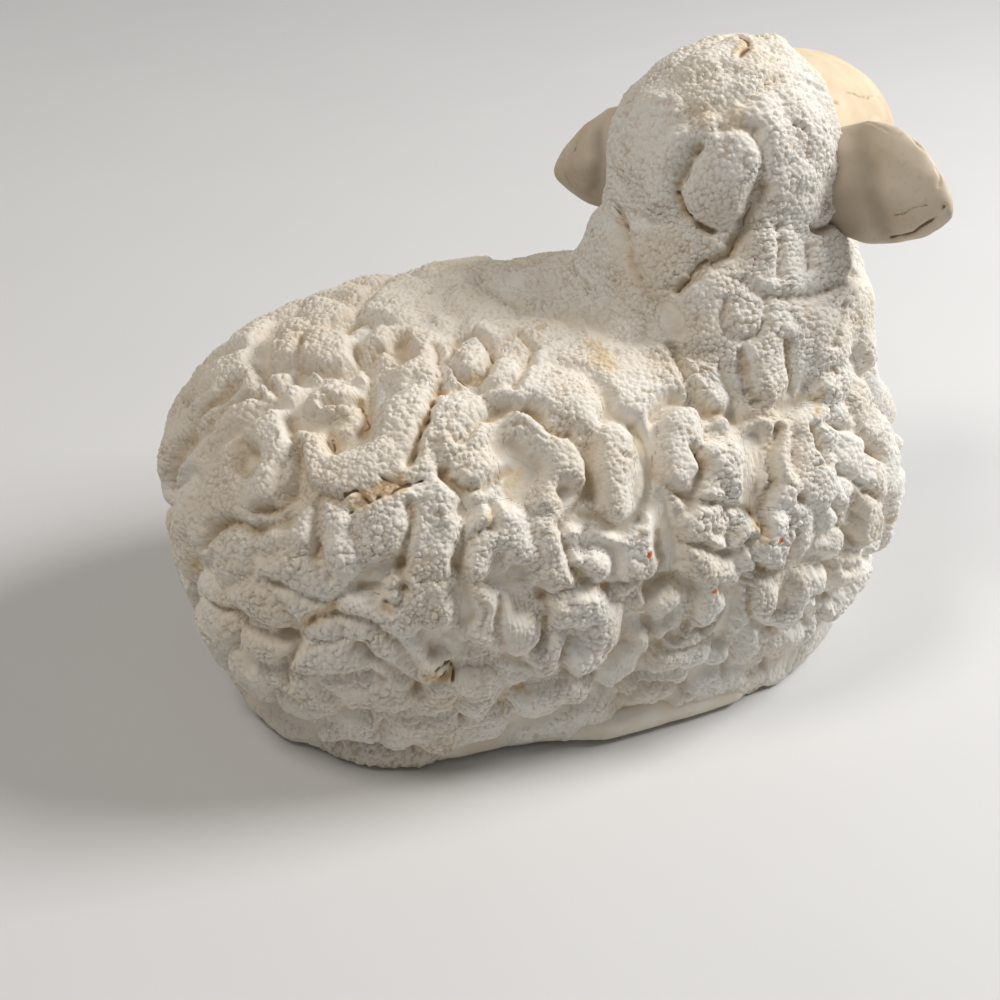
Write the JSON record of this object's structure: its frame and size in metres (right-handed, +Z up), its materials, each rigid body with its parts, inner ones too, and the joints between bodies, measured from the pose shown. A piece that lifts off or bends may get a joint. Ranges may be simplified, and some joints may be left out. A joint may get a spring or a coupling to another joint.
{
  "type": "lying sheep figurine",
  "caption": "Lying sheep figurine of hollow clay on a pressed base slab, with applied wool curls, leaf-shaped ears and a turned head.",
  "frame": {"origin": "middle of the flat underside of the base slab", "axes": "+X from the rump to the chest, +Y to the sheep's left, +Z up"},
  "size_m": [0.1769, 0.1084, 0.1325],
  "materials": {
    "white_wool_clay": "matt off-white, with a coarse pebbled crust",
    "cream_clay": "matt cream, smooth",
    "base_clay": "matt cream, smoothed by hand",
    "tan_clay": "matt tan, finely crackled",
    "eye_clay": "matt brown"
  },
  "bodies": {
    "root": {"body_shell": "cream_clay", "base_slab": "base_clay", "neck_collar": "cream_clay", "head": "cream_clay", "ear_left": "tan_clay", "ear_right": "tan_clay", "eye_left": "eye_clay", "eye_right": "eye_clay", "curls_back": "white_wool_clay", "curls_chest_left": "white_wool_clay", "curls_chest_right": "white_wool_clay", "curls_croup": "white_wool_clay", "curls_crown": "white_wool_clay", "curls_flank_left": "white_wool_clay", "curls_flank_left_high": "white_wool_clay", "curls_flank_left_low": "white_wool_clay", "curls_flank_right": "white_wool_clay", "curls_flank_right_high": "white_wool_clay", "curls_flank_right_low": "white_wool_clay", "curls_haunch_left": "white_wool_clay", "curls_haunch_left_low": "white_wool_clay", "curls_haunch_right": "white_wool_clay", "curls_haunch_right_low": "white_wool_clay", "curls_hip_left": "white_wool_clay", "curls_hip_right": "white_wool_clay", "curls_nape": "white_wool_clay", "curls_neck_left": "white_wool_clay", "curls_neck_right": "white_wool_clay", "curls_poll_left": "white_wool_clay", "curls_poll_right": "white_wool_clay", "curls_rump_left": "white_wool_clay", "curls_rump_right": "white_wool_clay", "curls_shoulder_left": "white_wool_clay", "curls_shoulder_right": "white_wool_clay", "curls_throat": "white_wool_clay"}
  },
  "joints": []
}
